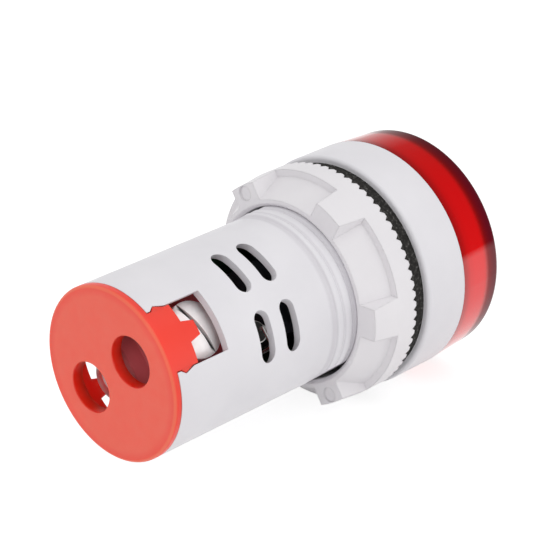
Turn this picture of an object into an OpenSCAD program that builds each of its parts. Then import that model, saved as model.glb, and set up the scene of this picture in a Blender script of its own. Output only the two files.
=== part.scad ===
// Round panel voltmeter for a 22 mm panel hole, with a two-wire screw terminal at the back.
// Modelled as seen from behind the panel: x to the right, y up, z out of the back.
// The panel face of the head is z = 0, so the head and the lens lie at negative z.

/* [Panel and thread] */
// Diameter of the panel hole that the thread passes through
panel_hole_d = 22.3; // [22:0.1:24]
// Room round the thread in the panel hole
panel_gap = 0.15; // [0.1:0.05:0.4]
// Length of the thread behind the panel face
thread_len = 12.6; // [11:0.1:16]
// How far the thread stands out from the plain barrel
thread_step = 0.25; // [0.15:0.05:0.6]
// Length over which the thread runs out to the plain barrel
thread_run = 0.8; // [0.4:0.1:2]
// Depth of the two flats cut on the thread
flat_depth = 0.4; // [0.2:0.05:0.7]

/* [Barrel] */
// Length of the housing behind the panel face
barrel_len = 37.3; // [36:0.1:44]
// Thickness of the barrel's wall
barrel_wall = 1.0; // [0.8:0.05:1.2]
// Turn of the first terminal from level, seen from behind
terminal_turn = 40; // [0:5:90]
// Height of the inner ledge that the terminal block stops against
ledge_h = 0.85; // [0.6:0.05:1.1]
// Thickness of that ledge along the barrel
ledge_t = 1.0; // [0.8:0.1:2]

/* [Vents] */
// Width of a vent slot along the barrel
vent_w = 2.2; // [1.6:0.1:2.6]
// Distance from the centre line of the terminal side to the near end of a slot
vent_near = 1.25; // [0.8:0.05:2]
// Distance from that centre line to the far end of a slot
vent_far = 7.0; // [5.5:0.1:7.6]
// Places of the slot rows, measured from the rear edge of the housing
vent_back = 13.9; // [12.5:0.1:15]
// Distance between the two rows of slots
vent_pitch = 4.15; // [3.2:0.05:4.6]

/* [Head and lens] */
// Diameter of the head and of the lens at their seam
head_d = 30; // [29:0.5:33]
// Length of the head in front of the panel
head_len = 6.7; // [6:0.1:9]
// Wall of the head
head_wall = 1.4; // [1.1:0.1:1.8]
// Thickness of the head's floor behind the display board
head_floor = 2.0; // [1.5:0.1:2.5]
// Rounding of the head's rear edge
head_round = 0.5; // [0.2:0.1:0.9]
// Length of the lens in front of the head
lens_len = 7.3; // [7:0.1:10]
// Taper of the lens, as the radius lost towards its front
lens_taper = 0.35; // [0.1:0.05:0.8]
// Rounding of the lens's front edge
lens_round = 0.9; // [0.4:0.1:1.4]
// Thickness of the lens's front
lens_front = 1.6; // [1.2:0.1:2.2]
// Thickness of the lens's skirt inside the head
skirt_t = 1.1; // [0.8:0.1:1.2]
// Room round the lens's skirt in the head
skirt_gap = 0.05; // [0.03:0.01:0.15]

/* [Gasket and nut] */
// Thickness of the rubber gasket
gasket_t = 2.1; // [1.5:0.1:3]
// Share of the head's seat round the thread that the gasket covers
gasket_share = 0.775; // [0.6:0.025:0.9]
// Room between the gasket and the thread
gasket_gap = 0.1; // [0.05:0.05:0.4]
// Length of the lock nut
nut_len = 7.0; // [6:0.1:9]
// How far the nut's flange stands in from the edge of the head
nut_inset = 0.2; // [0:0.1:0.6]
// Length of the nut's flange
nut_flange = 3.2; // [2.6:0.1:4]
// Room between the nut and the thread, and between the nut and the gasket
nut_gap = 0.2; // [0.1:0.05:0.3]
// Wall of the nut at its rear edge
nut_wall = 0.9; // [0.8:0.1:1.5]
// Chamfer at the rear of the nut's bore
nut_lead = 0.4; // [0.2:0.05:0.6]
// Step from the flange down to the pockets between the lugs
nut_step = 0.9; // [0.6:0.1:1.1]
// Number of lugs round the nut
lug_count = 6; // [4:2:8]
// Width of a lug at the flange
lug_w = 5.0; // [3.6:0.1:5.4]
// How much each side of a lug draws in towards the rear
lug_side = 0.45; // [0.2:0.05:0.8]
// How much the outer face of a lug draws in towards the rear
lug_draft = 0.4; // [0.2:0.1:0.6]
// Turn of the lugs as the nut stands in the photograph
lug_turn = 2.4; // [0:0.1:60]
// Number of teeth on the nut's front face
tooth_count = 72; // [48:12:84]
// Depth of those teeth
tooth_depth = 0.5; // [0.3:0.05:0.8]
// How far the teeth reach in from the gasket's edge
tooth_reach = 1.2; // [0.8:0.1:1.6]

/* [Rear cap] */
// Thickness of the cap's flange behind the housing
cap_flange = 1.0; // [0.8:0.1:1.6]
// Depth of the cap's plug inside the housing
cap_plug = 0.5; // [0.4:0.1:1]
// Height of the skirt round that plug
cap_skirt = 0.9; // [0.6:0.1:1.2]
// Rounding of the cap's rear edge
cap_round = 0.4; // [0.2:0.1:0.6]
// Room between the cap and the housing
cap_gap = 0.12; // [0.08:0.01:0.2]
// Diameter of a wire hole
wire_hole_d = 6.2; // [5:0.1:6.4]
// Distance of a wire hole from the barrel's axis
wire_hole_at = 4.5; // [4:0.1:5]

/* [Terminal windows] */
// Width of a window across the barrel
window_w = 7.5; // [7:0.1:8]
// Length of a window from the housing's rear edge
window_len = 7.9; // [7.4:0.1:8.6]
// Depth of the recess on each side that the tab's barbs catch in
barb_step = 0.45; // [0.2:0.05:0.6]
// Length of the lip behind that recess
lip_len = 0.5; // [0.4:0.05:0.8]
// Distance of the recess's deepest line from the housing's rear edge
barb_back = 1.2; // [1:0.05:1.6]
// Distance from that edge to where the recess begins
barb_lead = 2.6; // [2:0.1:3]
// Length of a tab from the housing's rear edge
tab_len = 3.2; // [3:0.1:3.6]
// Length of the tooth at the middle of a tab
tooth_len = 1.65; // [1:0.05:1.8]
// Width of that tooth at its root
tooth_w = 2.6; // [2:0.1:3]
// Width of that tooth at its tip
tooth_tip = 1.8; // [1:0.1:2]

/* [Terminals] */
// Distance of the screws from the housing's rear edge
screw_back = 6.4; // [6.2:0.1:7]
// Diameter of a terminal screw's thread
screw_d = 3.4; // [2.8:0.1:3.6]
// Diameter of its head
screw_head_d = 7.0; // [6:0.1:7.2]
// Height of the head's straight edge
screw_head_h = 1.2; // [0.8:0.1:1.3]
// Height of the head's dome
screw_dome_h = 0.9; // [0.4:0.1:1]
// Width of the driving slot
slot_w = 0.5; // [0.4:0.1:1]
// Depth of the driving slot
slot_depth = 1.0; // [0.6:0.1:1.2]
// Turn of the driving slot from straight across the barrel
slot_turn = 16; // [0:1:180]
// Side of the square clamp washer
washer_w = 6.0; // [5:0.1:6.2]
// Thickness of the clamp washer
washer_t = 0.7; // [0.5:0.1:0.9]
// Room for the wire between the open washer and its plate
wire_gap = 1.3; // [1:0.1:1.5]
// Distance of the plate's clamping face from the barrel's axis
plate_at = 5.0; // [4.8:0.1:5.2]
// Thickness of the terminal strip
strip_t = 0.8; // [0.6:0.1:1]
// Width of the terminal strip
strip_w = 5.0; // [4.6:0.1:5.4]
// Depth of the wire chamber from the housing's rear edge
chamber_len = 10.1; // [10:0.1:10.6]
// Thickness of the terminal block's bulkhead
bulkhead_t = 1.6; // [1.2:0.1:2]
// Thickness of the partition between the two wire chambers
web_t = 1.2; // [1:0.1:1.4]
// Room between pieces that are fitted together
fit_gap = 0.1; // [0.05:0.01:0.15]

/* [Boards] */
// Thickness of both circuit boards
board_t = 1.2; // [1:0.1:1.4]
// Width of the power board
power_board_w = 16.4; // [15:0.2:16.8]
// Room between the corners of the LED module and the lens
module_gap = 0.82; // [0.6:0.02:1.4]
// Height of the LED module's face
module_h = 10; // [9:0.5:11]
// Depth of the LED module
module_depth = 6.1; // [5.5:0.1:6.5]
// Height of a digit
digit_h = 7; // [6:0.1:7.4]
// Width of a digit
digit_w = 3.9; // [3:0.1:4.2]
// Width of a segment
segment_w = 0.75; // [0.5:0.05:0.9]
// Depth of a segment's window in the module's face
segment_depth = 0.4; // [0.3:0.1:0.8]

/* [Hidden] */
$fn = 96;
// Overshoot of a cut past the face it opens
cut = 0.5;

// Radii of the housing
thread_r = panel_hole_d / 2 - panel_gap;
barrel_r = thread_r - thread_step;
bore_r = barrel_r - barrel_wall;
ledge_r = bore_r - ledge_h;
head_r = head_d / 2;
cup_r = head_r - head_wall;

// Radii of the pieces round the housing, and of the lens's skirt
gasket_r = thread_r + gasket_share * (head_r - thread_r);
flange_r = head_r - nut_inset;
skirt_r = cup_r - skirt_gap;
lens_inner_r = skirt_r - skirt_t;
module_w = 2 * sqrt(pow(lens_inner_r - module_gap, 2) - pow(module_h / 2, 2));

// Places along the barrel
window_front = barrel_len - window_len;
tab_end = barrel_len - tab_len;
screw_z = barrel_len - screw_back;
chamber_z = barrel_len - chamber_len;
bulkhead_z = chamber_z - bulkhead_t;
ledge_z = bulkhead_z - ledge_t;
cap_back = barrel_len + cap_flange;
cap_inside = barrel_len - cap_plug;
web_end = cap_inside - cap_skirt - 3 * fit_gap;
display_z = -head_floor - board_t;
module_face = display_z - module_depth;
lens_back = -head_len;
lens_end = -head_len - lens_len;

// Places out from the barrel's axis, at a terminal
web_half = web_t / 2;
board_half = board_t / 2;
tail_at = board_half + fit_gap / 2;
plate_under = plate_at - strip_t;
washer_at = plate_at + wire_gap;
head_at = washer_at + washer_t + fit_gap / 2;
clamp_travel = wire_gap - fit_gap;
shank_len = head_at - clamp_travel - web_half - 2 * fit_gap;
tail_len = 3;
tail_z = bulkhead_z - tail_len;

// Turns what is modelled along z so that the barrel runs along Y
module as_mounted() {
    rotate([90, 0, 180]) children();
}

// Frame of one terminal: x out from the barrel's axis, y across it, z along it
module at_terminal(side) {
    rotate([0, 0, terminal_turn + 180 * (side - 1)]) children();
}

// Extrudes an outline, drawn across and along the barrel, outwards from the barrel's axis
module outwards(from, to) {
    translate([from, 0, 0]) rotate([90, 0, 90]) linear_extrude(to - from) children();
}

// Square corner left over outside a quarter round
module corner_waste(r) {
    difference() {
        square(r + cut);
        circle(r);
    }
}

// Slot with round ends between two places across the barrel
module vent_outline(near, far) {
    end_r = vent_w / 2;
    translate([near + end_r, -end_r]) square([far - near - vent_w, vent_w]);
    for (x = [near + end_r, far - end_r]) translate([x, 0]) circle(end_r);
}

// Opening for a tab, with a recess on each side that leaves a lip at the housing's rear edge
module window_outline() {
    half_w = window_w / 2;
    mouth = barrel_len + cut;
    catch = barrel_len - lip_len;
    tip = barrel_len - barb_back;
    lead = barrel_len - barb_lead;
    polygon([
        [-half_w, window_front], [half_w, window_front], [half_w, lead], [half_w + barb_step, tip],
        [half_w, catch], [half_w, mouth], [-half_w, mouth], [-half_w, catch],
        [-half_w - barb_step, tip], [-half_w, lead]
    ]);
}

// Section of the housing, from the axis outwards
module housing_section() {
    difference() {
        union() {
            square([barrel_r, barrel_len]);
            polygon([
                [0, 0], [thread_r, 0], [thread_r, thread_len - thread_run],
                [barrel_r, thread_len], [0, thread_len]
            ]);
            translate([0, -head_len]) square([head_r, head_len]);
        }
        translate([0, -head_floor]) square([bore_r, barrel_len + head_floor + cut]);
        translate([0, -head_len - cut]) square([cup_r, head_len - head_floor + cut]);
        translate([head_r - head_round, -head_round]) corner_waste(head_round);
    }
    translate([ledge_r, ledge_z]) square([ledge_h + barrel_wall / 2, ledge_t]);
}

// Housing: head, thread, barrel, vents and windows in one moulding
module housing() {
    flat_at = thread_r - flat_depth;
    color("whitesmoke") as_mounted() difference() {
        rotate_extrude() housing_section();
        for (side = [1, 2]) at_terminal(side) {
            outwards(web_half, thread_r + cut) {
                window_outline();
                for (row = [0, 1], flip = [0, 1])
                    translate([0, barrel_len - vent_back - row * vent_pitch])
                        mirror([flip, 0]) vent_outline(vent_near, vent_far);
            }
            rotate([0, 0, 90]) translate([flat_at, -thread_r, 0])
                cube([thread_r, 2 * thread_r, thread_len + cut]);
        }
    }
}

// Lens: red cup whose skirt plugs into the head and holds the display board down
module lens() {
    front_r = head_r - lens_taper;
    round_at = [front_r - lens_round, lens_end + lens_round];
    color("red", 0.6) as_mounted() rotate_extrude() difference() {
        union() {
            polygon(concat(
                [[0, lens_end]],
                [for (a = [-90:10:0]) round_at + lens_round * [cos(a), sin(a)]],
                [[head_r, lens_back], [0, lens_back]]
            ));
            translate([0, lens_back]) square([skirt_r, display_z - lens_back]);
        }
        translate([0, lens_end + lens_front]) square([lens_inner_r, lens_len + head_len]);
    }
}

// Gasket: flat rubber ring between the head and the panel
module gasket() {
    color("dimgray") as_mounted() rotate_extrude()
        translate([thread_r + gasket_gap, 0])
            square([gasket_r - thread_r - gasket_gap, gasket_t]);
}

// Outline of a lug, seen from outside, from inside the flange to past the nut's rear face
module lug_outline(step, rear) {
    over = cut * lug_side / (rear - step);
    foot = lug_w / 2 + over;
    tip = lug_w / 2 - lug_side - over;
    polygon([[-foot, step - cut], [foot, step - cut], [tip, rear + cut], [-tip, rear + cut]]);
}

// Notch between two teeth of the nut's front face, seen from outside
module tooth_notch(front, width) {
    half_w = width / 2;
    polygon([
        [-half_w, front], [0, front + tooth_depth], [half_w, front],
        [half_w, front - cut], [-half_w, front - cut]
    ]);
}

// Lock nut: tapered ring, flange, drafted lugs, two pin marks, and teeth that bite on the gasket or panel
mark_r = 0.95;
mark_depth = 0.25;
mark_lug = 2;
notch_share = 0.7;
module lock_nut() {
    front = gasket_t + nut_gap / 4;
    rear = front + nut_len;
    step = front + nut_flange;
    bore = thread_r + nut_gap;
    root_r = bore + nut_wall;
    tip_r = flange_r - lug_draft;
    lug_in = (bore + nut_lead + root_r) / 2;
    lug_pitch = 360 / lug_count;
    tooth_in = gasket_r - tooth_reach;
    notch_w = notch_share * 2 * PI * tooth_in / tooth_count;
    color("whitesmoke") as_mounted() difference() {
        union() {
            rotate_extrude() polygon([
                [bore, front], [flange_r, front], [flange_r, step], [flange_r - nut_step, step],
                [root_r, rear], [bore + nut_lead, rear], [bore, rear - nut_lead]
            ]);
            intersection() {
                rotate_extrude() polygon([
                    [lug_in, front + nut_step], [flange_r, front + nut_step], [flange_r, step],
                    [tip_r, rear], [lug_in, rear]
                ]);
                for (i = [0:lug_count - 1]) rotate([0, 0, lug_turn + i * lug_pitch])
                    outwards(bore, flange_r + cut) lug_outline(step, rear);
            }
        }
        for (turn = [0, 180]) rotate([0, 0, lug_turn + mark_lug * lug_pitch + turn])
            translate([tip_r - mark_r - nut_gap / 2, 0, rear - mark_depth]) cylinder(r = mark_r, h = cut);
        for (i = [0:tooth_count - 1]) rotate([0, 0, (i + 0.5) * 360 / tooth_count])
            outwards(tooth_in, flange_r + cut) tooth_notch(front, notch_w);
    }
}

// Outline of a tab with its tooth
module tab_outline() {
    half_w = window_w / 2 - cap_gap;
    tooth_root = tab_end + cap_gap;
    translate([-half_w, tab_end]) square([2 * half_w, barrel_len + cap_flange / 2 - tab_end]);
    polygon([
        [-tooth_w / 2, tooth_root], [-tooth_w / 2, tab_end], [-tooth_tip / 2, tab_end - tooth_len],
        [tooth_tip / 2, tab_end - tooth_len], [tooth_w / 2, tab_end], [tooth_w / 2, tooth_root]
    ]);
}

// Rear cap: end plate with two wire holes, a plug, and two tabs that close the windows
module rear_cap() {
    plug_r = bore_r - cap_gap;
    seat = barrel_len + cap_gap / 2;
    color("tomato") as_mounted() difference() {
        union() {
            rotate_extrude() difference() {
                union() {
                    translate([0, seat]) square([barrel_r, cap_back - seat]);
                    translate([0, cap_inside]) square([plug_r, cap_back - cap_inside]);
                    translate([plug_r - cap_skirt, cap_inside - cap_skirt])
                        square([cap_skirt, cap_skirt + cap_plug]);
                }
                translate([barrel_r - cap_round, cap_back - cap_round]) corner_waste(cap_round);
            }
            intersection() {
                translate([0, 0, window_front]) difference() {
                    cylinder(r = barrel_r, h = cap_back - cap_round - window_front);
                    cylinder(r = plug_r, h = cap_back - window_front);
                }
                for (side = [1, 2]) at_terminal(side) outwards(web_half, barrel_r + cut) tab_outline();
            }
        }
        for (side = [1, 2]) at_terminal(side)
            translate([wire_hole_at, 0, cap_inside - cut]) {
                cylinder(d = wire_hole_d, h = cap_back - cap_inside + 2 * cut);
                translate([0, 0, cap_back - cap_inside + cut - fit_gap])
                    cylinder(d1 = wire_hole_d, d2 = wire_hole_d + 4 * fit_gap, h = 2 * fit_gap);
            }
    }
}

// Terminal block: bulkhead across the barrel, partition and a core that the strips bend round
module terminal_block() {
    block_r = bore_r - fit_gap;
    web_r = block_r - fit_gap;
    core_half = plate_under - fit_gap / 2;
    core_z = chamber_z + strip_t + fit_gap;
    core_w = strip_w + 2 * fit_gap;
    color("gainsboro") as_mounted() difference() {
        union() {
            translate([0, 0, bulkhead_z]) cylinder(r = block_r, h = bulkhead_t);
            at_terminal(1) {
                intersection() {
                    translate([-web_half, -bore_r, bulkhead_z])
                        cube([web_t, 2 * bore_r, web_end - bulkhead_z]);
                    cylinder(r = web_r, h = web_end);
                }
                translate([-core_half, -core_w / 2, core_z])
                    cube([2 * core_half, core_w, screw_z + screw_d / 2 + strip_t - core_z]);
            }
        }
        for (side = [1, 2]) at_terminal(side) {
            translate([web_half, 0, screw_z]) rotate([0, 90, 0])
                cylinder(d = screw_d + 4 * fit_gap, h = core_half);
            translate([tail_at - fit_gap / 2, -core_w / 2, bulkhead_z - cut])
                cube([strip_t + fit_gap, core_w, bulkhead_t + 2 * cut]);
        }
    }
}

// Terminal strip: clamping face under the screw, riser along the bulkhead, tail on the board
module terminal_strip(side) {
    color("silver") as_mounted() at_terminal(side) difference() {
        translate([0, strip_w / 2, 0]) rotate([90, 0, 0]) linear_extrude(strip_w) union() {
            translate([plate_under, chamber_z]) square([strip_t, screw_z + washer_w / 2 - chamber_z]);
            translate([tail_at, chamber_z]) square([plate_at - tail_at, strip_t]);
            translate([tail_at, tail_z]) square([strip_t, chamber_z + strip_t - tail_z]);
        }
        translate([plate_under - cut, 0, screw_z]) rotate([0, 90, 0])
            cylinder(d = screw_d + 2 * fit_gap, h = strip_t + 2 * cut);
    }
}
module terminal_plate_1() { terminal_strip(1); }
module terminal_plate_2() { terminal_strip(2); }

// Clamp washer: square plate that the screw carries down onto the wire
module clamp_washer(side) {
    color("lightgray") as_mounted() at_terminal(side) difference() {
        translate([washer_at, -washer_w / 2, screw_z - washer_w / 2]) cube([washer_t, washer_w, washer_w]);
        translate([washer_at - cut, 0, screw_z]) rotate([0, 90, 0])
            cylinder(d = screw_d + 4 * fit_gap, h = washer_t + 2 * cut);
    }
}
module clamp_washer_1() { clamp_washer(1); }
module clamp_washer_2() { clamp_washer(2); }

// Terminal screw: shank and domed pan head with a driving slot, backed out to take a wire
module terminal_screw(side) {
    edge_r = screw_head_d / 2;
    dome_r = (edge_r * edge_r + screw_dome_h * screw_dome_h) / (2 * screw_dome_h);
    full_h = screw_head_h + screw_dome_h;
    color("silver") as_mounted() at_terminal(side)
        translate([head_at, 0, screw_z]) rotate([0, 90, 0]) difference() {
            union() {
                translate([0, 0, -shank_len]) cylinder(d = screw_d, h = shank_len + screw_head_h / 2);
                intersection() {
                    cylinder(r = edge_r, h = full_h);
                    translate([0, 0, full_h - dome_r]) sphere(dome_r);
                }
            }
            rotate([0, 0, slot_turn]) translate([-slot_w / 2, -edge_r - cut, full_h - slot_depth])
                cube([slot_w, screw_head_d + 2 * cut, slot_depth + cut]);
        }
}
module terminal_screw_1() { terminal_screw(1); }
module terminal_screw_2() { terminal_screw(2); }

// Power board: carries the supply, on the barrel's axis between the two strips' tails
power_board_z = 0.6;
module power_board() {
    color("darkgreen") as_mounted() at_terminal(1)
        translate([-board_half, -power_board_w / 2, power_board_z])
            cube([board_t, power_board_w, bulkhead_z - fit_gap - power_board_z]);
}

// Film capacitor: dropper in a box case on the first side of the board
film_h = 5.4;
film_w = 9.6;
film_z = 8.4;
module film_capacitor() {
    film_len = resistor_z - resistor_d / 2 - film_room - film_z;
    color("firebrick") as_mounted() at_terminal(1)
        translate([board_half + fit_gap, -film_w / 2, film_z]) cube([film_h, film_w, film_len]);
}

// Electrolytic capacitor: can lying along the second side of the board
can_d = 7.6;
can_z = 5;
can_room = 5.8;
module electrolytic_capacitor() {
    can_len = tail_z - can_room - can_z;
    groove_at = 1.5;
    groove_d = 0.7;
    color("midnightblue") as_mounted() at_terminal(2)
        translate([board_half + fit_gap + can_d / 2, 0, can_z]) difference() {
            cylinder(d = can_d, h = can_len);
            translate([0, 0, can_len - groove_at]) rotate_extrude()
                translate([can_d / 2, 0]) circle(d = groove_d);
        }
}

// Bridge rectifier: small moulded block with four legs on the first side of the board
bridge_size = [2.4, 4.8, 4];
bridge_z = 3.4;
bridge_y = 2.4;
module bridge_rectifier() {
    leg = [0.3, 0.8, 0.7];
    color("black") as_mounted() at_terminal(1) translate([board_half + fit_gap / 2, bridge_y, bridge_z]) {
        translate([fit_gap, -bridge_size[1] / 2, 0]) cube(bridge_size);
        for (y = [-1, 1], z = [-leg[2] + fit_gap, bridge_size[2] - fit_gap])
            translate([0, y * bridge_size[1] / 4 - leg[1] / 2, z]) cube(leg);
    }
}

// Fuse resistor: stands on the board with one lead bent back down beside it
resistor_d = 2.8;
resistor_len = 4.6;
resistor_back = 4.4;
resistor_y = -3;
film_room = 1;
resistor_z = bulkhead_z - resistor_back;
resistor_foot = 0.8;
lead_d = 0.6;
lead_over = 1.4;
foot_y = -2.4;
module fuse_resistor() {
    stand = board_half + fit_gap;
    top = stand + resistor_foot + resistor_len + lead_over;
    color("burlywood") as_mounted() at_terminal(1)
        translate([0, resistor_y, resistor_z]) {
            translate([stand + resistor_foot, 0, 0]) rotate([0, 90, 0])
                cylinder(d = resistor_d, h = resistor_len);
            translate([stand, 0, 0]) rotate([0, 90, 0]) cylinder(d = lead_d, h = top - stand);
            translate([stand, foot_y, 0]) rotate([0, 90, 0]) cylinder(d = lead_d, h = top - stand);
            translate([top, foot_y, 0]) rotate([-90, 0, 0]) cylinder(d = lead_d, h = -foot_y);
            for (y = [0, foot_y]) translate([top, y, 0]) sphere(d = lead_d);
        }
}

// Board header: strip on the display board whose pins lie on the power board
header_w = 2.5;
header_len = 10.2;
pin_w = 0.6;
pin_len = 2;
pin_pitch = 2.54;
module board_header() {
    header_h = power_board_z + head_floor - 2 * fit_gap;
    color("black") as_mounted() at_terminal(1) translate([board_half + fit_gap, 0, -head_floor + fit_gap]) {
        translate([0, -header_len / 2, 0]) cube([header_w, header_len, header_h]);
        for (i = [-1.5:1:1.5]) translate([0, i * pin_pitch - pin_w / 2, header_h - fit_gap])
            cube([pin_w, pin_w, pin_len]);
    }
}

// Display board: round board on the floor of the head, held by the lens's skirt
module display_board() {
    color("darkgreen") as_mounted() translate([0, 0, display_z])
        cylinder(r = cup_r - 2 * fit_gap, h = board_t);
}

// Controller chip: on the back of the display board, with two rows of legs
chip_at = 4.6;
chip_w = 3.9;
chip_len = 9.8;
chip_h = 1.4;
leg_len = 1;
leg_w = 0.4;
leg_t = 0.3;
leg_pitch = 1.27;
module controller_chip() {
    legs_a_side = 8;
    color("black") as_mounted() at_terminal(2) translate([chip_at, 0, -head_floor + fit_gap / 2]) {
        translate([-chip_w / 2, -chip_len / 2, fit_gap]) cube([chip_w, chip_len, chip_h]);
        for (flip = [0, 1], i = [0:legs_a_side - 1]) mirror([flip, 0, 0])
            translate([chip_w / 2 - fit_gap, (i - (legs_a_side - 1) / 2) * leg_pitch - leg_w / 2, 0])
                cube([leg_len, leg_w, leg_t]);
    }
}

// One segment of a digit, pointed at both ends
module segment(length, width) {
    polygon([
        [-length / 2, 0], [(width - length) / 2, width / 2], [(length - width) / 2, width / 2],
        [length / 2, 0], [(length - width) / 2, -width / 2], [(width - length) / 2, -width / 2]
    ]);
}

// Windows of three digits and their points, each drawn in by the given gap
module digit_outlines(gap) {
    digit_pitch = module_w / 3;
    across = digit_w - segment_w;
    upright = (digit_h - segment_w) / 2;
    spare = segment_w / 4;
    for (i = [-1:1]) translate([i * digit_pitch + segment_w / 2, 0]) {
        for (y = [-upright, 0, upright]) translate([0, y])
            segment(across - spare - 2 * gap, segment_w - 2 * gap);
        for (x = [-across / 2, across / 2], y = [-upright / 2, upright / 2]) translate([x, y])
            rotate(90) segment(upright - spare - 2 * gap, segment_w - 2 * gap);
        translate([-digit_w / 2 - segment_w, -upright]) circle(d = segment_w - 2 * gap);
    }
}

// LED module: case with a window for each segment
module led_module() {
    color("gray") as_mounted() difference() {
        translate([-module_w / 2, -module_h / 2, module_face])
            cube([module_w, module_h, module_depth - fit_gap / 2]);
        translate([0, 0, module_face - cut]) linear_extrude(segment_depth + cut) digit_outlines(0);
    }
}

// LED segments: resin windows in the module's face
module led_segments() {
    color("mistyrose") as_mounted() translate([0, 0, module_face])
        linear_extrude(segment_depth - fit_gap / 2) digit_outlines(fit_gap / 2);
}

housing();
lens();
gasket();
lock_nut();
rear_cap();
terminal_block();
terminal_plate_1();
terminal_plate_2();
clamp_washer_1();
clamp_washer_2();
terminal_screw_1();
terminal_screw_2();
power_board();
film_capacitor();
electrolytic_capacitor();
bridge_rectifier();
fuse_resistor();
board_header();
display_board();
controller_chip();
led_module();
led_segments();
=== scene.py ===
import math

import bpy
from mathutils import Matrix, Vector


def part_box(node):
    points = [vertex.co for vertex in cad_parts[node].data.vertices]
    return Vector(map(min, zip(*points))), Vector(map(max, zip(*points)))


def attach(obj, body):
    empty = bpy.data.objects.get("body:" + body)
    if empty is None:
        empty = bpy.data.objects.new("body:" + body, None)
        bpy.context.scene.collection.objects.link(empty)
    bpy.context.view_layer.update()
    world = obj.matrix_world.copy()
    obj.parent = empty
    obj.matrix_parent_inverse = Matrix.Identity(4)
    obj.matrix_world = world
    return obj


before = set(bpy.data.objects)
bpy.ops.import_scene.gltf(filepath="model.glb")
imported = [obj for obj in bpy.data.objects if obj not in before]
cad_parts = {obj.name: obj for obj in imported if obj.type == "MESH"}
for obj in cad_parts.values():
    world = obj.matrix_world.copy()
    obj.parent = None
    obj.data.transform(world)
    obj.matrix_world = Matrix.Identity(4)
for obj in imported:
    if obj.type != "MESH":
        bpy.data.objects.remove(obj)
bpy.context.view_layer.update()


# Camera: a long lens behind and above the meter, which looks at the cap, one terminal window and
# the side of the barrel, with the red lens furthest away. Its place was fitted to the round edges.
mm = 0.001
camera_lens_mm, camera_sensor_mm = 145.42, 36
camera_at = (-168.0945 * mm, 186.41 * mm, 118.5279 * mm)
camera_right = Vector((-0.72112, -0.69281, 0.00108))
camera_up = Vector((0.29769, -0.30845, 0.90346))

bpy.ops.object.camera_add(location=camera_at)
camera = bpy.context.object
camera.name = "camera"
camera.data.lens = camera_lens_mm
camera.data.sensor_width = camera_sensor_mm
camera.data.clip_start = 10 * mm
camera_turn = Matrix((camera_right, camera_up, camera_right.cross(camera_up))).transposed()
camera.rotation_euler = camera_turn.to_euler()
bpy.context.scene.camera = camera


# Housing: head, thread and barrel in one injection moulding of white plastic. The tool was spark
# eroded, so the skin is satin, with a faint cloudiness where the melt cooled unevenly, and the
# hollow where the thread ends is painted a little darker, as shade.
def start_finish(name):
    """A new material: its node tree, its shader, and the piece's own coordinates."""
    finish = bpy.data.materials.new(name)
    finish.use_nodes = True
    tree = finish.node_tree
    place = tree.nodes.new("ShaderNodeTexCoord").outputs["Object"]
    return finish, tree, tree.nodes["Principled BSDF"], place


def cloud(tree, place, size, detail=2.0):
    """Soft random patches about so big, in metres."""
    noise = tree.nodes.new("ShaderNodeTexNoise")
    noise.inputs["Scale"].default_value = 1 / size
    noise.inputs["Detail"].default_value = detail
    tree.links.new(place, noise.inputs["Vector"])
    return noise.outputs["Fac"]


def tint(tree, amount, stops):
    """Colour that goes through the given stops as the amount rises."""
    ramp = tree.nodes.new("ShaderNodeValToRGB")
    points = ramp.color_ramp.elements
    while len(points) < len(stops):
        points.new(0.5)
    for point, (at, colour) in zip(points, stops):
        point.position = at
        point.color = (*colour, 1)
    tree.links.new(amount, ramp.inputs["Fac"])
    return ramp.outputs["Color"]


def span(tree, amount, low, high, to_low, to_high):
    """The amount, taken from one range of numbers to another and held at its ends."""
    rule = tree.nodes.new("ShaderNodeMapRange")
    rule.inputs["From Min"].default_value = low
    rule.inputs["From Max"].default_value = high
    rule.inputs["To Min"].default_value = to_low
    rule.inputs["To Max"].default_value = to_high
    tree.links.new(amount, rule.inputs["Value"])
    return rule.outputs["Result"]


patch_low, patch_high = 0.3, 0.7


def mottle(tree, patches, deep, pale):
    """Colour that wanders between two shades with the given patches."""
    return tint(tree, patches, [(patch_low, deep), (patch_high, pale)])


def uneven_gloss(tree, shader, patches, smooth, rough):
    """Roughness that wanders between two values with the given patches."""
    gloss = span(tree, patches, patch_low, patch_high, smooth, rough)
    tree.links.new(gloss, shader.inputs["Roughness"])


def along(tree, place, way):
    """How far a point lies along the given direction."""
    reach = tree.nodes.new("ShaderNodeVectorMath")
    reach.operation = "DOT_PRODUCT"
    reach.inputs[1].default_value = way
    tree.links.new(place, reach.inputs[0])
    return reach.outputs["Value"]


def feed(tree, socket, value):
    """Gives a socket another node's result, a colour or a number."""
    if isinstance(value, bpy.types.NodeSocket):
        tree.links.new(value, socket)
    else:
        socket.default_value = (*value, 1) if isinstance(value, tuple) else value


def blend(tree, amount, colour_a, colour_b, how="MIX"):
    """Goes from the first colour to its mix or product with the second as the amount rises."""
    mix = tree.nodes.new("ShaderNodeMix")
    mix.data_type = "RGBA"
    mix.blend_type = how
    feed(tree, mix.inputs["Factor"], amount)
    feed(tree, mix.inputs[6], colour_a)
    feed(tree, mix.inputs[7], colour_b)
    return mix.outputs[2]


def combine(tree, operation, first, second):
    """One number made of two, such as their product or the larger of them."""
    rule = tree.nodes.new("ShaderNodeMath")
    rule.operation = operation
    feed(tree, rule.inputs[0], first)
    feed(tree, rule.inputs[1], second)
    return rule.outputs["Value"]


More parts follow.
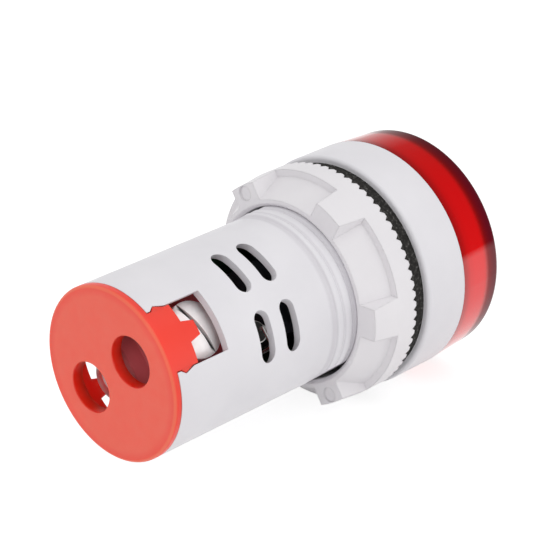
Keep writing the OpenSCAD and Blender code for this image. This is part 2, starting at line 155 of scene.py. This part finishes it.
def skin(tree, shader, height, depth, edge):
    """Grain of the given depth on the surface, with edges that look rounded off by so much."""
    soft = tree.nodes.new("ShaderNodeBevel")
    soft.samples = 6
    soft.inputs["Radius"].default_value = edge
    grain = tree.nodes.new("ShaderNodeBump")
    grain.inputs["Distance"].default_value = depth
    tree.links.new(height, grain.inputs["Height"])
    tree.links.new(soft.outputs["Normal"], grain.inputs["Normal"])
    tree.links.new(grain.outputs["Normal"], shader.inputs["Normal"])


# Share of the colour that is left where shade is painted into a hollow.
painted_hollow_shade = (0.87, 0.86, 0.87)


def moulded_plastic(name, deep, pale, gloss, grain_depth, edge, painted_shade=None):
    """Satin moulding: cloudy colour between two shades, uneven gloss, fine grain, soft edges."""
    finish, tree, shader, place = start_finish(name)
    melt = cloud(tree, place, 9 * mm, 4)
    handled = cloud(tree, place, 2.5 * mm, 3)
    eroded = cloud(tree, place, 0.16 * mm)
    colour = mottle(tree, melt, deep, pale)
    # Where a rule is given, shade is painted into the colour in those places.
    if painted_shade:
        colour = blend(tree, painted_shade(tree, place), colour, painted_hollow_shade, "MULTIPLY")
    tree.links.new(colour, shader.inputs["Base Color"])
    uneven_gloss(tree, shader, handled, gloss - 0.06, gloss + 0.06)
    skin(tree, shader, eroded, grain_depth, edge)
    return finish


def wear(piece, finish):
    """Gives a piece one finish all over."""
    piece.data.materials.clear()
    piece.data.materials.append(finish)


hollow_begins, hollow_full = 11.8 * mm, 12.2 * mm
hollow_eases, hollow_ends = 12.45 * mm, 12.9 * mm


# Where shade is painted on the housing: the hollow where the thread runs out.
def in_run_out(tree, place):
    """1 in the hollow where the thread runs out into the barrel, and less on both sides of it."""
    back = along(tree, place, (0, 1, 0))
    into = span(tree, back, hollow_begins, hollow_full, 0, 1)
    out_of = span(tree, back, hollow_eases, hollow_ends, 1, 0)
    return combine(tree, "MULTIPLY", into, out_of)


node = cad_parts
deep_white, pale_white = (0.765, 0.75, 0.783), (0.815, 0.799, 0.83)
white_gloss, white_grain = 0.42, 0.006 * mm
wear(node["housing"], moulded_plastic(
    "white_plastic", deep_white, pale_white, white_gloss, white_grain,
    edge=0.12 * mm, painted_shade=in_run_out))


# Thread: one low rounded ridge wound round the front of the barrel, moulded with it in the same
# white plastic. The two flats cut it into half turns, it sinks away where the threaded part runs
# out, and the foot between its turns is painted darker, as shade.
def work_on(piece):
    """Makes a piece the only one that the next operators act on."""
    bpy.ops.object.select_all(action="DESELECT")
    piece.select_set(True)
    bpy.context.view_layer.objects.active = piece


def face_outwards(piece):
    """Merges points that coincide, then turns all faces outwards."""
    work_on(piece)
    bpy.ops.object.mode_set(mode="EDIT")
    bpy.ops.mesh.select_all(action="SELECT")
    bpy.ops.mesh.remove_doubles(threshold=1e-6)
    bpy.ops.mesh.normals_make_consistent(inside=False)
    bpy.ops.object.mode_set(mode="OBJECT")


def cut_away(piece, at, towards):
    """Saws off what lies beyond a plane and closes the cut."""
    work_on(piece)
    bpy.ops.object.mode_set(mode="EDIT")
    bpy.ops.mesh.select_all(action="SELECT")
    bpy.ops.mesh.bisect(
        plane_co=at, plane_no=towards, use_fill=True, clear_outer=True, threshold=1e-8)
    bpy.ops.object.mode_set(mode="OBJECT")
    face_outwards(piece)


def wound_ridge(name, root_r, crest_r, foot_w, crest_w, pitch, begin, end):
    """A ridge wound right-handed round the Y axis, cut square at both ends."""
    bpy.ops.object.select_all(action="DESELECT")
    bpy.ops.mesh.primitive_plane_add(size=1)
    ridge = bpy.context.object
    ridge.name = name
    bpy.ops.object.mode_set(mode="EDIT")
    bpy.ops.mesh.delete(type="ONLY_FACE")
    bpy.ops.object.mode_set(mode="OBJECT")
    for corner in ridge.data.vertices:
        outer = corner.co.x > 0
        radius, width = (crest_r, crest_w) if outer else (root_r, foot_w)
        corner.co = (radius, math.copysign(width / 2, corner.co.y) + begin - pitch, 0)
        corner.select = outer
    bpy.ops.object.mode_set(mode="EDIT")
    bpy.ops.mesh.bevel(offset=0.25 * crest_w, segments=4, affect="VERTICES")
    bpy.ops.object.mode_set(mode="OBJECT")
    wind = ridge.modifiers.new("wind", "SCREW")
    wind.axis = "Y"
    wind.screw_offset = pitch
    wind.iterations = math.ceil((end - begin) / pitch) + 2
    wind.steps = 72
    wind.render_steps = 72
    wind.use_merge_vertices = False
    bpy.ops.object.modifier_apply(modifier="wind")
    cut_away(ridge, (0, begin, 0), (0, -1, 0))
    cut_away(ridge, (0, end, 0), (0, 1, 0))
    return ridge


def off_axis(tree, place):
    """Distance of a point from the barrel's axis."""
    flat = tree.nodes.new("ShaderNodeVectorMath")
    flat.operation = "MULTIPLY"
    flat.inputs[1].default_value = (1, 0, 1)
    tree.links.new(place, flat.inputs[0])
    radius = tree.nodes.new("ShaderNodeVectorMath")
    radius.operation = "LENGTH"
    tree.links.new(flat.outputs["Vector"], radius.inputs[0])
    return radius.outputs["Value"]


thread_r = 11.0 * mm
ridge_foot, ridge_top = 0.015 * mm, 0.16 * mm
# How far up the ridge the painted shade reaches, at full strength and where it is gone.
shade_full, shade_gone = 0.01 * mm, 0.11 * mm
run_out_at, run_out_slope = 11.83 * mm, 0.62


def between_turns(tree, place):
    """Where shade is painted: 1 at the foot of the ridge, 0 on its crest."""
    return span(
        tree, off_axis(tree, place), thread_r + shade_full, thread_r + shade_gone, 1, 0)


barrel_thread = wound_ridge(
    "barrel_thread", root_r=thread_r - ridge_foot, crest_r=thread_r + ridge_top,
    foot_w=1.49 * mm, crest_w=0.62 * mm, pitch=1.5 * mm, begin=1.75 * mm, end=12.45 * mm)
for point in barrel_thread.data.vertices:
    sunk = max(0, point.co.y - run_out_at) * run_out_slope
    point.co.x *= 1 - sunk / thread_r
    point.co.z *= 1 - sunk / thread_r

# The terminals point outwards, turned from the level of the display, and the flats face across
# that. The cut goes a hair deeper than the housing's own flats, so that nothing stands out of them.
terminal_turn = math.radians(40)
outwards = Vector((-math.cos(terminal_turn), 0, math.sin(terminal_turn)))
across = Vector((math.sin(terminal_turn), 0, math.cos(terminal_turn)))
flat_at, flat_facing = 10.58 * mm, 0.9999
for side in (1, -1):
    cut_away(barrel_thread, across * flat_at * side, across * side)

smooth_below = math.radians(40)
work_on(barrel_thread)
bpy.ops.object.shade_smooth_by_angle(angle=smooth_below)
ridge_mesh = barrel_thread.data
for face in ridge_mesh.polygons:
    if abs(face.normal.dot(across)) > flat_facing:
        for corner in face.loop_indices:
            ridge_mesh.edges[ridge_mesh.loops[corner].edge_index].use_edge_sharp = True

wear(barrel_thread, moulded_plastic(
    "thread_plastic", deep_white, pale_white, white_gloss, white_grain,
    edge=0.005 * mm, painted_shade=between_turns))
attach(barrel_thread, "meter")


# Gasket: a flat ring die-cut from black rubber sheet, squeezed between the head and the panel. Its
# cut edge is granular and grey with talc and dust.
gasket_rubber, tree, shader, place = start_finish("gasket_rubber")
dust = cloud(tree, place, 0.35 * mm, 4)
dusty_black = tint(tree, dust, [
    (0.42, (0.021, 0.02, 0.019)), (0.58, (0.042, 0.04, 0.038)), (0.72, (0.13, 0.125, 0.12))])
tree.links.new(dusty_black, shader.inputs["Base Color"])
shader.inputs["Specular IOR Level"].default_value = 0.08
uneven_gloss(tree, shader, dust, 0.7, 0.9)
skin(tree, shader, cloud(tree, place, 0.25 * mm, 3), depth=0.05 * mm, edge=0.15 * mm)
wear(node["gasket"], gasket_rubber)


# Lock nut: the ring that draws the meter tight against the panel, moulded in the same white plastic
# with six drafted lugs for the fingers, pin marks on two of them and a toothed clamping face. Its
# colour is painted a little lighter than the housing's, as painted light falling on it.
# Painted light: the nut's white is a little lighter than the housing's.
deep_nut_white_lit, pale_nut_white_lit = (0.80, 0.778, 0.803), (0.85, 0.827, 0.85)
wear(node["lock_nut"], moulded_plastic(
    "nut_plastic", deep_nut_white_lit, pale_nut_white_lit, white_gloss,
    grain_depth=0.007 * mm, edge=0.3 * mm))


# Display board and controller: a round board of glass cloth under green lacquer on the floor of
# the head, with tracks that show through the lacquer, and a black moulded chip with tinned legs
# behind it.
def lacquered_board(name):
    """Dark green lacquer over a fine grid of tracks, which stand out a little."""
    finish, tree, shader, place = start_finish(name)
    tracks = tree.nodes.new("ShaderNodeTexBrick")
    tracks.inputs["Scale"].default_value = 1
    tracks.inputs["Brick Width"].default_value = 2.6 * mm
    tracks.inputs["Row Height"].default_value = 0.9 * mm
    tracks.inputs["Mortar Size"].default_value = 0.11 * mm
    tracks.inputs["Color1"].default_value = (0.009, 0.03, 0.015, 1)
    tracks.inputs["Color2"].default_value = (0.011, 0.036, 0.018, 1)
    tracks.inputs["Mortar"].default_value = (0.02, 0.07, 0.03, 1)
    turned = tree.nodes.new("ShaderNodeMapping")
    turned.inputs["Rotation"].default_value = (math.pi / 2, 0, terminal_turn)
    tree.links.new(place, turned.inputs["Vector"])
    tree.links.new(turned.outputs["Vector"], tracks.inputs["Vector"])
    tree.links.new(tracks.outputs["Color"], shader.inputs["Base Color"])
    uneven_gloss(tree, shader, cloud(tree, place, 0.5 * mm), 0.28, 0.42)
    skin(tree, shader, tracks.outputs["Fac"], depth=0.02 * mm, edge=0.05 * mm)
    return finish


def moulded_epoxy(name, colour):
    """Dull filled resin with fine flecks of a darker shade."""
    finish, tree, shader, place = start_finish(name)
    flecks = cloud(tree, place, 0.12 * mm, 3)
    darker = tuple(0.6 * share for share in colour)
    flecked = tint(tree, flecks, [(0.35, darker), (0.65, colour)])
    tree.links.new(flecked, shader.inputs["Base Color"])
    uneven_gloss(tree, shader, flecks, 0.5, 0.7)
    skin(tree, shader, flecks, depth=0.012 * mm, edge=0.08 * mm)
    return finish


board_lacquer = lacquered_board("board_lacquer")
black_epoxy = moulded_epoxy("black_epoxy", (0.03, 0.03, 0.032))
wear(node["display_board"], board_lacquer)
wear(node["controller_chip"], black_epoxy)


# LED module: a dark moulded case with a window for each segment, filled with milky diffusing resin.
# It stands on the display board and shows three digits and their points through the lens.
wear(node["led_module"], moulded_epoxy("module_case", (0.045, 0.045, 0.05)))

segment_resin, tree, shader, place = start_finish("segment_resin")
milk = cloud(tree, place, 0.6 * mm, 3)
milky = mottle(tree, milk, (0.5, 0.45, 0.43), (0.62, 0.57, 0.55))
tree.links.new(milky, shader.inputs["Base Color"])
uneven_gloss(tree, shader, milk, 0.3, 0.45)
skin(tree, shader, cloud(tree, place, 0.2 * mm), depth=0.008 * mm, edge=0.05 * mm)
wear(node["led_segments"], segment_resin)


# Lens: a deep cup of clear red plastic, polished outside, whose skirt snaps into the head over the
# display. The thick front edge gathers the colour to a dark wine red, shade is painted by the seam
# at the head and towards the top, and the lower side mirrors the pale table.
lens_red, tree, shader, place = start_finish("lens_red")
height = along(tree, place, (0, 0, 1))
forward = along(tree, place, (0, -1, 0))
radius = off_axis(tree, place)
# Painted light and shade: the red is lighter low down and darker towards the top.
red_shaded_by_height = tint(tree, span(tree, height, 3.5 * mm, 15 * mm, 0, 1), [
    (0, (0.84, 0.005, 0.006)), (0.1, (0.7, 0.005, 0.006)), (0.68, (0.615, 0.004, 0.005)),
    (0.9, (0.565, 0.004, 0.004)), (1, (0.535, 0.004, 0.004))])
# Painted shade by the seam at the head, then the wine red of the thick front edge.
seam_shade_and_thick_edge = tint(tree, span(tree, forward, 6.7 * mm, 13.7 * mm, 0, 1), [
    (0, (0.5, 1, 1)), (0.07, (0.62, 1, 1)), (0.115, (0.74, 1, 1)), (0.19, (0.92, 1, 1)),
    (0.33, (1, 1, 1)), (0.57, (1, 1, 1)), (0.625, (0.87, 1, 1)), (0.665, (0.6, 0.7, 0.7)),
    (0.7, (0.4, 0.5, 0.6)), (0.736, (0.295, 0.3, 0.7)), (0.8, (0.225, 0.3, 1.2)),
    (0.9, (0.165, 0.5, 1.8))])
wall_red = blend(tree, 1, red_shaded_by_height, seam_shade_and_thick_edge, "MULTIPLY")
in_wall = span(tree, radius, 12.3 * mm, 12.7 * mm, 0, 1)
front_red = (0.9, 0.012, 0.014)
tree.links.new(blend(tree, in_wall, front_red, wall_red), shader.inputs["Base Color"])
tree.links.new(span(tree, in_wall, 0, 1, 0.95, 0), shader.inputs["Transmission Weight"])
shader.inputs["IOR"].default_value = 1.49
shader.inputs["Specular IOR Level"].default_value = 0.02

table_polish, front_polish = 0.87, 0.15
edge_in, edge_out = 13.6 * mm, 13.9 * mm
lower_side = span(tree, height, 4.5 * mm, 3.7 * mm, 0, table_polish)
far_side = span(tree, along(tree, place, (1, 0, 0)), -2 * mm, 7 * mm, 0, table_polish)
over_table = combine(tree, "MAXIMUM", lower_side, far_side)
on_side = span(tree, radius, edge_in, edge_out, 0, 1)
on_front = span(tree, radius, edge_in, edge_out, front_polish, 0)
off_rim = span(tree, forward, 11.35 * mm, 11.75 * mm, 1, 0.5)
side_polish = combine(tree, "MULTIPLY", combine(tree, "MULTIPLY", over_table, on_side), off_rim)
tree.links.new(combine(tree, "ADD", side_polish, on_front), shader.inputs["Coat Weight"])
shader.inputs["Coat Roughness"].default_value = 0.03
shader.inputs["Coat IOR"].default_value = 1.65
uneven_gloss(tree, shader, cloud(tree, place, 3 * mm, 3), 0.03, 0.07)
skin(tree, shader, cloud(tree, place, 1.2 * mm), depth=0.004 * mm, edge=0.1 * mm)
wear(node["lens"], lens_red)


# Power board and its parts: the supply stands in the barrel, with a boxed film capacitor, a
# sleeved electrolytic can, a bridge rectifier, a cement resistor and a pin header to the display,
# all soldered to it by their leads.
wear(node["power_board"], board_lacquer)
wear(node["bridge_rectifier"], black_epoxy)
wear(node["board_header"], black_epoxy)
wear(node["film_capacitor"], moulded_epoxy("capacitor_case", (0.035, 0.035, 0.045)))

sleeve_blue, stripe_grey = (0.012, 0.012, 0.03), (0.2, 0.2, 0.22)
can_sleeve, tree, shader, place = start_finish("can_sleeve")
stripe = span(tree, along(tree, place, (1, 0, 0)), 4.6 * mm, 5.0 * mm, 0, 1)
tree.links.new(blend(tree, stripe, sleeve_blue, stripe_grey), shader.inputs["Base Color"])
crinkle = cloud(tree, place, 1.1 * mm)
uneven_gloss(tree, shader, crinkle, 0.22, 0.4)
skin(tree, shader, crinkle, depth=0.02 * mm, edge=0.2 * mm)
wear(node["electrolytic_capacitor"], can_sleeve)

cement_dark, tinned_lead = (0.025, 0.023, 0.022), (0.78, 0.77, 0.75)
resistor_middle = (outwards * 3.7 - across * 3.0) * mm + Vector((0, 21.2 * mm, 0))
body_reach, lead_reach = 2.7 * mm, 2.74 * mm
resistor_cement, tree, shader, place = start_finish("resistor_cement")
reach = tree.nodes.new("ShaderNodeVectorMath")
reach.operation = "DISTANCE"
reach.inputs[1].default_value = resistor_middle
tree.links.new(place, reach.inputs[0])
lead = span(tree, reach.outputs["Value"], body_reach, lead_reach, 0, 1)
tree.links.new(blend(tree, lead, cement_dark, tinned_lead), shader.inputs["Base Color"])
tree.links.new(lead, shader.inputs["Metallic"])
tree.links.new(span(tree, lead, 0, 1, 0.75, 0.22), shader.inputs["Roughness"])
skin(tree, shader, cloud(tree, place, 0.3 * mm, 3), depth=0.02 * mm, edge=0.05 * mm)
wear(node["fuse_resistor"], resistor_cement)


# Terminal block: a moulding pushed in against the ledge, its colour painted dusky red for the red
# light that comes through the cap. Its bulkhead closes the barrel, its partition keeps the two
# wires apart, and the strips bend round its core.
# Painted light: the red that the cap casts on the block.
deep_block_in_cap_light, pale_block_in_cap_light = (0.74, 0.19, 0.22), (0.82, 0.23, 0.26)
wear(node["terminal_block"], moulded_plastic(
    "block_plastic", deep_block_in_cap_light, pale_block_in_cap_light, gloss=0.45,
    grain_depth=0.006 * mm, edge=0.1 * mm))


# Terminal strips: brass strip, nickel plated and bent to a step, soldered to the power board. The
# rolling of the strip leaves fine lines along it.
def rolled_metal(name, deep, pale, gloss, line_w):
    """Bare metal between two shades, with fine lines along the barrel."""
    finish, tree, shader, place = start_finish(name)
    drawn = tree.nodes.new("ShaderNodeMapping")
    drawn.inputs["Rotation"].default_value = (0, math.pi / 2 - terminal_turn, 0)
    drawn.inputs["Scale"].default_value = (1, 0.04, 1)
    tree.links.new(place, drawn.inputs["Vector"])
    lines = cloud(tree, drawn.outputs["Vector"], line_w, 3)
    tree.links.new(mottle(tree, lines, deep, pale), shader.inputs["Base Color"])
    shader.inputs["Metallic"].default_value = 1
    uneven_gloss(tree, shader, lines, gloss - 0.05, gloss + 0.08)
    skin(tree, shader, lines, depth=0.003 * mm, edge=0.08 * mm)
    return finish


strip_nickel = rolled_metal(
    "strip_nickel", (0.62, 0.6, 0.56), (0.72, 0.7, 0.66), gloss=0.24, line_w=0.12 * mm)
for side in (1, 2):
    wear(node[f"terminal_plate_{side}"], strip_nickel)


# Clamp washers: square plates stamped from steel, zinc plated, which the screws carry down on the
# wires.
washer_zinc = rolled_metal(
    "washer_zinc", (0.6, 0.6, 0.61), (0.74, 0.74, 0.75), gloss=0.2, line_w=0.1 * mm)
for side in (1, 2):
    wear(node[f"clamp_washer_{side}"], washer_zinc)


# Terminal screws: cold-headed steel with a domed head and a driving slot, bright nickel plated. The
# dome keeps faint rings from the die, the slot is painted dark as shade, and the shank has a rolled
# thread.
def to_either_side(tree, place, way):
    """How far a point lies from the axis, forwards or backwards along the given direction."""
    reach = tree.nodes.new("ShaderNodeMath")
    reach.operation = "ABSOLUTE"
    tree.links.new(along(tree, place, way), reach.inputs[0])
    return reach.outputs["Value"]


def copy_of(piece, name):
    """The same piece once more, with a mesh of its own."""
    twin = piece.copy()
    twin.data = piece.data.copy()
    twin.name = name
    bpy.context.collection.objects.link(twin)
    return twin


screw_y = 30.9 * mm
screw_nickel, tree, shader, place = start_finish("screw_nickel")
faced = tree.nodes.new("ShaderNodeMapping")
faced.inputs["Rotation"].default_value = (0, math.pi / 2 - terminal_turn, 0)
faced.inputs["Location"].default_value = (0, -screw_y, 0)
tree.links.new(place, faced.inputs["Vector"])
rings = tree.nodes.new("ShaderNodeTexWave")
rings.wave_type = "RINGS"
rings.rings_direction = "Z"
rings.inputs["Scale"].default_value = 1 / (1.2 * mm)
rings.inputs["Distortion"].default_value = 1.5
tree.links.new(faced.outputs["Vector"], rings.inputs["Vector"])
# Painted shade: the colour goes dark where the screw's own shape closes round a point, as in the
# slot.
hollow = tree.nodes.new("ShaderNodeAmbientOcclusion")
hollow.only_local = True
hollow.inputs["Distance"].default_value = 0.6 * mm
slot_shade = (0.03, 0.028, 0.028)
plating = mottle(
    tree, cloud(tree, place, 0.8 * mm, 3), (0.9, 0.885, 0.885), (0.97, 0.955, 0.955))
out_of_slot_shade = span(tree, hollow.outputs["AO"], 0.45, 0.7, 0, 1)
tree.links.new(blend(tree, out_of_slot_shade, slot_shade, plating), shader.inputs["Base Color"])
head_sheen = span(
    tree, to_either_side(tree, place, outwards), 7.3 * mm, 8.2 * mm, 1, 0.25)
tree.links.new(head_sheen, shader.inputs["Metallic"])
uneven_gloss(tree, shader, cloud(tree, place, 0.3 * mm), 0.34, 0.44)
skin(tree, shader, rings.outputs["Fac"], depth=0.002 * mm, edge=0.1 * mm)

thread_1 = wound_ridge(
    "screw_thread_1", root_r=1.66 * mm, crest_r=1.78 * mm, foot_w=0.5 * mm, crest_w=0.12 * mm,
    pitch=0.6 * mm, begin=2.15 * mm, end=6.15 * mm)
thread_2 = copy_of(thread_1, "screw_thread_2")
for side, shank_thread, way in ((1, thread_1, outwards), (2, thread_2, -outwards)):
    wear(node[f"terminal_screw_{side}"], screw_nickel)
    shank_thread.rotation_euler = way.to_track_quat("Y", "Z").to_euler()
    shank_thread.location = (0, screw_y, 0)
    work_on(shank_thread)
    bpy.ops.object.transform_apply(location=True, rotation=True, scale=True)
    bpy.ops.object.shade_smooth_by_angle(angle=smooth_below)
    wear(shank_thread, screw_nickel)
    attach(shank_thread, f"screw_{side}")


# Rear cap: an orange-red moulding that snaps over the end of the barrel. Its face is matt and
# painted paler than the smooth rim and tabs as a sheen, its rounded rear edge is painted orange as
# a highlight, the wire holes go straight through it, and thin walls glow red.
# A barb on each side of a tab catches behind the lip of the housing's window.
cap_red, tree, shader, place = start_finish("cap_red")
back = along(tree, place, (0, 1, 0))
radius = off_axis(tree, place)
hole_at, hole_r = 4.5 * mm, 3.1 * mm
cap_r = 10.5 * mm
from_hole = tree.nodes.new("ShaderNodeCombineXYZ")
sideways = to_either_side(tree, place, outwards)
tree.links.new(combine(tree, "SUBTRACT", sideways, hole_at), from_hole.inputs["X"])
tree.links.new(along(tree, place, across), from_hole.inputs["Z"])
clear_of_hole = span(
    tree, off_axis(tree, from_hole.outputs["Vector"]),
    hole_r + 0.02 * mm, hole_r + 0.1 * mm, 0, 1)
near_hole = combine(tree, "SUBTRACT", 1, clear_of_hole)
# Painted sheen: the face is paler, less so towards its rim.
sheen_on_disc = combine(
    tree, "MULTIPLY",
    span(tree, back, 38.1 * mm, 38.28 * mm, 0, 1),
    span(tree, radius, 9.4 * mm, cap_r, 1, 0.35))
matt_face_and_sheen = combine(tree, "MULTIPLY", clear_of_hole, sheen_on_disc)
# Painted highlight: the rounded rear edge turns orange.
edge_highlight = combine(
    tree, "MULTIPLY",
    span(tree, back, 37.95 * mm, 38.15 * mm, 0, 0.5),
    span(tree, radius, 10.3 * mm, cap_r, 0, 1))
under_disc = combine(
    tree, "MULTIPLY",
    span(tree, back, 38.0 * mm, 38.2 * mm, 1, 0),
    span(tree, radius, 10.2 * mm, cap_r, 1, 0))
inside = combine(tree, "MAXIMUM", near_hole, under_disc)

highlight_orange = (1, 0.24, 0.125)
smooth_red = mottle(
    tree, cloud(tree, place, 6 * mm, 3), (0.95, 0.032, 0.012), (0.98, 0.04, 0.016))
# The face's paler red is a painted sheen.
face_red_with_sheen = mottle(tree, cloud(tree, place, 1.5 * mm, 4), (1, 0.13, 0.083), (1, 0.147, 0.098))
moulded_red = blend(tree, matt_face_and_sheen, smooth_red, face_red_with_sheen)
tree.links.new(blend(tree, edge_highlight, moulded_red, highlight_orange), shader.inputs["Base Color"])
tree.links.new(span(tree, inside, 0, 1, 0.2, 1), shader.inputs["Subsurface Weight"])
shader.inputs["Subsurface Radius"].default_value = (1, 0.08, 0.04)
shader.inputs["Subsurface Scale"].default_value = 5 * mm
tree.links.new(span(tree, matt_face_and_sheen, 0, 1, 0.36, 0.6), shader.inputs["Roughness"])
skin(tree, shader, cloud(tree, place, 0.14 * mm), depth=0.008 * mm, edge=0.15 * mm)
wear(node["rear_cap"], cap_red)

barb_root, barb_tip = 3.58 * mm, 4.12 * mm
barb_begin, barb_widest, barb_end = 34.75 * mm, 36.1 * mm, 36.72 * mm
barb_in, barb_out = 9.65 * mm, 10.74 * mm
bpy.ops.object.select_all(action="DESELECT")
bpy.ops.mesh.primitive_cylinder_add(
    vertices=360, radius=barb_out, depth=barb_end - barb_begin,
    location=(0, (barb_begin + barb_end) / 2, 0), rotation=(math.pi / 2, 0, 0))
first_barb = bpy.context.object
first_barb.name = "cap_barb_1_upper"
bpy.ops.object.transform_apply(location=True, rotation=True, scale=True)
widest = across * barb_tip + Vector((0, barb_widest, 0))
lead_way = across * (barb_widest - barb_begin) - Vector((0, barb_tip - barb_root, 0))
catch_way = across * (barb_end - barb_widest) + Vector((0, barb_tip - barb_root, 0))
cut_away(first_barb, outwards * barb_in, -outwards)
cut_away(first_barb, across * barb_root, -across)
cut_away(first_barb, widest, lead_way)
cut_away(first_barb, widest, catch_way)
wear(first_barb, cap_red)

barbs = [first_barb]
other_edge = Matrix.Scale(-1, 4, across)
other_tab = Matrix.Rotation(math.pi, 4, "Y")
for name, move in (("cap_barb_1_lower", other_edge), ("cap_barb_2_upper", other_tab),
                   ("cap_barb_2_lower", other_tab @ other_edge)):
    twin = copy_of(first_barb, name)
    twin.data.transform(move)
    face_outwards(twin)
    barbs.append(twin)
for barb in barbs:
    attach(barb, "cap")


# Studio: a round sheet of pale paper just under the head, which looks white and keeps the meter's
# shadow, white all round it, one large soft lamp above and two weaker ones behind and to the right.
studio_middle = Vector((0, 12 * mm, 0))
floor_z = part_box("housing")[0].z - 0.05 * mm
bpy.ops.object.select_all(action="DESELECT")
bpy.ops.mesh.primitive_circle_add(
    vertices=96, radius=0.4, fill_type="NGON", location=(0, studio_middle.y, floor_z))
floor = bpy.context.object
floor.name = "studio_floor"


def in_view(tree):
    """1 for what is seen straight on, mirrored or through a clear piece, 0 for scattered light."""
    ray = tree.nodes.new("ShaderNodeLightPath").outputs
    mirrored = combine(tree, "MAXIMUM", ray["Is Camera Ray"], ray["Is Glossy Ray"])
    return combine(tree, "MAXIMUM", mirrored, ray["Is Transmission Ray"])


floor_paper, tree, shader, _ = start_finish("floor_paper")
shader.inputs["Base Color"].default_value = (0.9, 0.9, 0.9, 1)
shader.inputs["Roughness"].default_value = 0.9
matt = tree.nodes.new("ShaderNodeBsdfDiffuse")
matt.inputs["Color"].default_value = (0.42, 0.42, 0.42, 1)
glow = tree.nodes.new("ShaderNodeEmission")
glow.inputs["Strength"].default_value = 0.8
both = tree.nodes.new("ShaderNodeAddShader")
tree.links.new(matt.outputs["BSDF"], both.inputs[0])
tree.links.new(glow.outputs["Emission"], both.inputs[1])
shown = tree.nodes.new("ShaderNodeMixShader")
tree.links.new(in_view(tree), shown.inputs["Fac"])
tree.links.new(shader.outputs["BSDF"], shown.inputs[1])
tree.links.new(both.outputs["Shader"], shown.inputs[2])
tree.links.new(shown.outputs["Shader"], tree.nodes["Material Output"].inputs["Surface"])
wear(floor, floor_paper)

studio = bpy.data.worlds.new("studio")
bpy.context.scene.world = studio
studio.use_nodes = True
tree = studio.node_tree
backdrop = tree.nodes["Background"]
backdrop.inputs["Color"].default_value = (1, 1, 1, 1)
tree.links.new(span(tree, in_view(tree), 0, 1, 0.72, 1.0), backdrop.inputs["Strength"])


def soft_lamp(name, at, size, power):
    """A square soft lamp that faces the middle of the meter."""
    bpy.ops.object.light_add(type="AREA", location=at)
    lamp = bpy.context.object
    lamp.name = name
    lamp.data.shape = "SQUARE"
    lamp.data.size = size
    lamp.data.energy = power
    lamp.rotation_euler = (studio_middle - Vector(at)).to_track_quat("-Z", "Y").to_euler()


soft_lamp("lamp_above", at=(-0.12, -0.05, 0.5), size=0.4, power=0.38)
soft_lamp("lamp_behind", at=(-0.15, 0.5, 0.3), size=0.3, power=0.22)
soft_lamp("lamp_right", at=(-0.45, -0.12, 0.12), size=0.3, power=0.28)

bpy.context.scene.view_settings.view_transform = "Standard"
